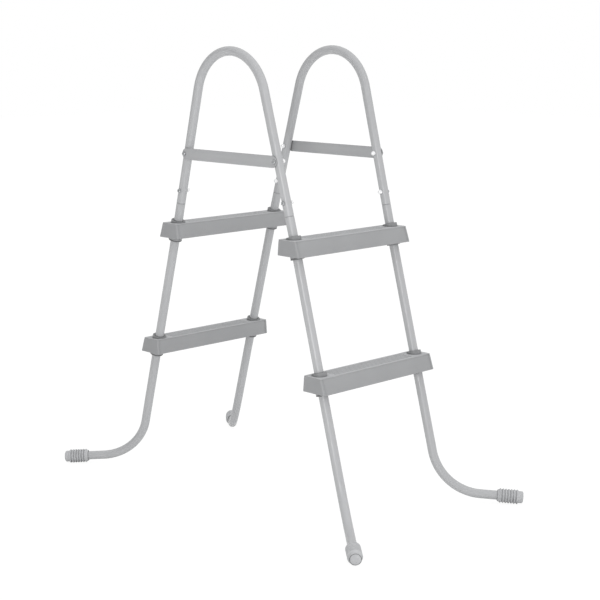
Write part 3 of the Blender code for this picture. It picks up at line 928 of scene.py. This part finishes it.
def cap_nut(end, side, z, kind):
    """Chamfered hexagon with a dome, on the inner side of the tube."""
    inward = Y * -side
    seat = leg_point(end, side, z) + inward * (TUBE_R + GAP)
    flats = hexagon(NUT_FLATS)
    corner = NUT_FLATS / math.cos(math.pi / 6)
    width = corner - NUT_FLATS

    def chamfered(limit):
        return lambda angle: min(flats(angle), limit)

    # (height over the seat, radius)
    profile = [(NUT_HOLE_DEPTH, NUT_HOLE_R - 0.0008),
               (NUT_HOLE_DEPTH - 0.0008, NUT_HOLE_R), (0.0004, NUT_HOLE_R),
               (0.0, NUT_HOLE_R + 0.0004), (0.0, chamfered(NUT_FLATS))]
    for k in range(1, 6):
        profile.append((NUT_CHAMFER * width * k / 5,
                        chamfered(NUT_FLATS + width * k / 5)))
    for k in range(6):
        profile.append((NUT_HEX_H - NUT_CHAMFER * width * (1 - k / 5),
                        chamfered(corner - width * k / 5)))
    dome_base = NUT_HEX_H + 0.0010
    dome_r = NUT_DOME_R - 0.0001
    profile += [(NUT_HEX_H + 0.0001, NUT_DOME_R + 0.0003),
                (NUT_HEX_H + 0.0005, NUT_DOME_R), (dome_base, dome_r)]
    for k in range(1, 9):
        angle = math.radians(NUT_DOME_SWEEP * k / 8)
        profile.append((dome_base + (NUT_H - dome_base) * math.sin(angle)
                        / math.sin(math.radians(NUT_DOME_SWEEP)),
                        dome_r * math.cos(angle)))
    shape = bmesh.new()
    lathe(shape, seat, inward, X, profile, SMALL)
    piece("cap_nut_%s_%s_%s" % (kind, END_NAME[end], SIDE_NAME[side]),
          splay_mesh(shape, side), "zinc_steel", 28)


# ------------------------------------------------------------- foot caps
CAP_RIBS = 7
FIRST_RIB = 0.0146         # from the outer end
RIB_PITCH = 0.00685
RIB_CREST = 0.0176
RIB_ROOT = 0.0148

# (distance from the outer end, radius)
CAP_NOSE = (               # raised end disc, a fine groove, a rounded nose
    (0.0, 0.0115), (0.0002, 0.0121), (0.0007, 0.0124), (0.0020, 0.0126),
    (0.0024, 0.0130), (0.0019, 0.0134), (0.0013, 0.0137), (0.0015, 0.0140),
    (0.0022, 0.0143), (0.0040, 0.0145), (0.0080, 0.0144), (0.0112, 0.0147))
CAP_LIP = ((0.0590, 0.0152), (0.0606, 0.0150), (0.0622, 0.0143),
           (0.0630, 0.0133), (0.0631, 0.0125), (0.0629, 0.0117))

# (distance from the rib's middle, share of the rib's height)
RIB = ((-0.0017, 0.62), (-0.0011, 0.90), (-0.0005, 1.0),
       (0.0005, 1.0), (0.0011, 0.90), (0.0017, 0.62))


def cap_profile():
    points = list(CAP_NOSE)
    for k in range(CAP_RIBS):
        middle = FIRST_RIB + k * RIB_PITCH
        points += [(middle + offset, RIB_ROOT + (RIB_CREST - RIB_ROOT) * share)
                   for offset, share in RIB]
        if k < CAP_RIBS - 1:
            valley = middle + RIB_PITCH / 2
            points += [(valley - 0.0004, RIB_ROOT + 0.0001),
                       (valley + 0.0004, RIB_ROOT + 0.0001)]
    return points + list(CAP_LIP)


def foot_cap(end, side):
    down, out, corner, turn, axis, _ = foot_bend(end, side)
    along, across = turned(down, axis, turn)
    beside = along.cross(across)
    tip = corner + out * CAP_END
    profile = cap_profile() + [(CAP_END - CAP_START - 0.0006, TUBE_R + GAP),
                               (CAP_WALL_END, TUBE_R + GAP)]
    shape = bmesh.new()
    skin(shape, [circle(tip - along * distance, across, beside, radius)
                 for distance, radius in profile])
    for vert in shape.verts:
        if vert.co.z < 0.0:              # flat where the ribs stand on the floor
            vert.co.z = 0.0
    piece("foot_cap_%s_%s" % (END_NAME[end], SIDE_NAME[side]), shape, "cap_rubber", 42)


# -------------------------------------------------------------- assembly
for side in (LEFT, RIGHT):
    handrail(side)
    spreader_bar(side)
for end in (FRONT, REAR):
    for side in (LEFT, RIGHT):
        leg(end, side)
        foot_cap(end, side)
        for kind, z, packing in (("bar", BAR_Z, BAR_T + GAP), ("joint", JOINT_Z, 0.0)):
            bolt(end, side, z, kind, packing)
            cap_nut(end, side, z, kind)
    for level in (0, 1):
        tread(end, level)
        for side in (LEFT, RIGHT):
            top_bush(end, level, side)
            bottom_bush(end, level, side)


# ----------------------------------------------------------------- stage
FLOOR_HALF = 14.0
FLOOR_Z = -0.0004
FLOOR_GLOW = 0.93          # emission, seen by the camera only
FLOOR_SEEN = 0.10          # diffuse grey that takes the shadows in view
FLOOR_BOUNCE = 0.82        # diffuse grey for all other rays

# dome strength: even part, gain overhead, losses to the front and the left
DOME_EVEN, DOME_UP, DOME_FRONT, DOME_LEFT = 0.87, 0.46, 0.02, 0.77
GLOSSY_LOSS = 0.42         # share of the dome kept out of reflections


def floor():
    mesh = bpy.data.meshes.new("floor")
    corners = ((-1, -1), (1, -1), (1, 1), (-1, 1))
    mesh.from_pydata([(x * FLOOR_HALF, y * FLOOR_HALF, FLOOR_Z) for x, y in corners],
                     [], [(0, 1, 2, 3)])
    obj = bpy.data.objects.new("floor", mesh)
    scene.collection.objects.link(obj)
    material = bpy.data.materials.new("floor_white")
    graph = Graph(material)

    def diffuse(grey):
        return graph.node("ShaderNodeBsdfDiffuse",
                          {"Color": (grey, grey, grey, 1.0)}).outputs[0]

    glow = graph.node("ShaderNodeEmission",
                      {"Color": (*WHITE, 1.0), "Strength": FLOOR_GLOW}).outputs[0]
    seen = graph.node("ShaderNodeAddShader",
                      {0: glow, 1: diffuse(FLOOR_SEEN)}).outputs[0]
    to_camera = graph.node("ShaderNodeLightPath").outputs["Is Camera Ray"]
    pick = graph.node("ShaderNodeMixShader",
                      {0: to_camera, 1: diffuse(FLOOR_BOUNCE), 2: seen}).outputs[0]
    graph.node("ShaderNodeOutputMaterial", {"Surface": pick})
    mesh.materials.append(material)


def dome():
    """White to the camera; light from an overhead dome that is weaker towards
    the front and the left."""
    world = bpy.data.worlds.new("studio")
    scene.world = world
    graph = Graph(world)
    maths = graph.maths
    direction = graph.node("ShaderNodeTexCoord").outputs["Generated"]
    x, y, z = graph.node("ShaderNodeSeparateXYZ", {0: direction}).outputs
    total = maths("ADD", graph.scaled(maths("MAXIMUM", z, 0.0), by=DOME_UP), DOME_EVEN)
    front = graph.scaled(maths("MAXIMUM", x, 0.0), by=DOME_FRONT)
    left = graph.scaled(maths("MAXIMUM", graph.scaled(y, by=-1.0), 0.0), by=DOME_LEFT)
    total = maths("SUBTRACT", maths("SUBTRACT", total, front), left)
    total = maths("MAXIMUM", total, 0.0)
    path = graph.node("ShaderNodeLightPath")
    loss = graph.scaled(path.outputs["Is Glossy Ray"], by=GLOSSY_LOSS)
    total = maths("MULTIPLY", total, maths("SUBTRACT", 1.0, loss))
    seen = graph.node("ShaderNodeBackground", {"Color": (*WHITE, 1.0)})
    lit = graph.node("ShaderNodeBackground", {"Color": (*WHITE, 1.0), "Strength": total})
    pick = graph.node("ShaderNodeMixShader", {
        0: path.outputs["Is Camera Ray"], 1: lit.outputs[0], 2: seen.outputs[0]})
    graph.node("ShaderNodeOutputWorld", {"Surface": pick.outputs[0]})


def area(name, position, target, size, power):
    light = bpy.data.lights.new(name, "AREA")
    light.shape = "RECTANGLE"
    light.size, light.size_y = size
    light.energy = power
    obj = bpy.data.objects.new(name, light)
    scene.collection.objects.link(obj)
    direction = Vector(target) - Vector(position)
    obj.location = position
    obj.rotation_euler = direction.to_track_quat("-Z", "Y").to_euler()
    obj.visible_camera = False
    return obj


def lights():
    """A tall soft box at the front left and a square light overhead."""
    area("key", position=(2.31, -3.02, 1.12), target=(0.35, 0.0, 0.60),
         size=(0.50, 1.7), power=44.5)
    top = area("top", position=(0.9, -0.3, 2.9), target=(0.1, 0.0, 0.4),
               size=(1.8, 1.8), power=5.6)
    top.visible_glossy = False


def camera():
    """Looks at the target from the front left, slightly above."""
    azimuth, elevation, roll = 0.794498, 0.186515, -0.000362      # radians
    distance = 3.569558
    target = Vector((0.029463, 0.030005, 0.47717))
    back = Vector((math.sin(azimuth) * math.cos(elevation),
                   -math.cos(azimuth) * math.cos(elevation), math.sin(elevation)))
    right = Vector((math.cos(azimuth), math.sin(azimuth), 0.0))
    up = back.cross(right)
    rolled_right = right * math.cos(roll) + up * math.sin(roll)
    rolled_up = -right * math.sin(roll) + up * math.cos(roll)
    data = bpy.data.cameras.new("camera")
    data.sensor_width = 36.0
    data.lens = 84.9971
    obj = bpy.data.objects.new("camera", data)
    scene.collection.objects.link(obj)
    matrix = Matrix.Identity(4)
    columns = (rolled_right, rolled_up, back, target + back * distance)
    for i, column in enumerate(columns):
        for k in range(3):
            matrix[k][i] = column[k]
    obj.matrix_world = matrix
    scene.camera = obj


floor()
dome()
lights()
camera()
scene.view_settings.view_transform = "Standard"
scene.view_settings.look = "None"
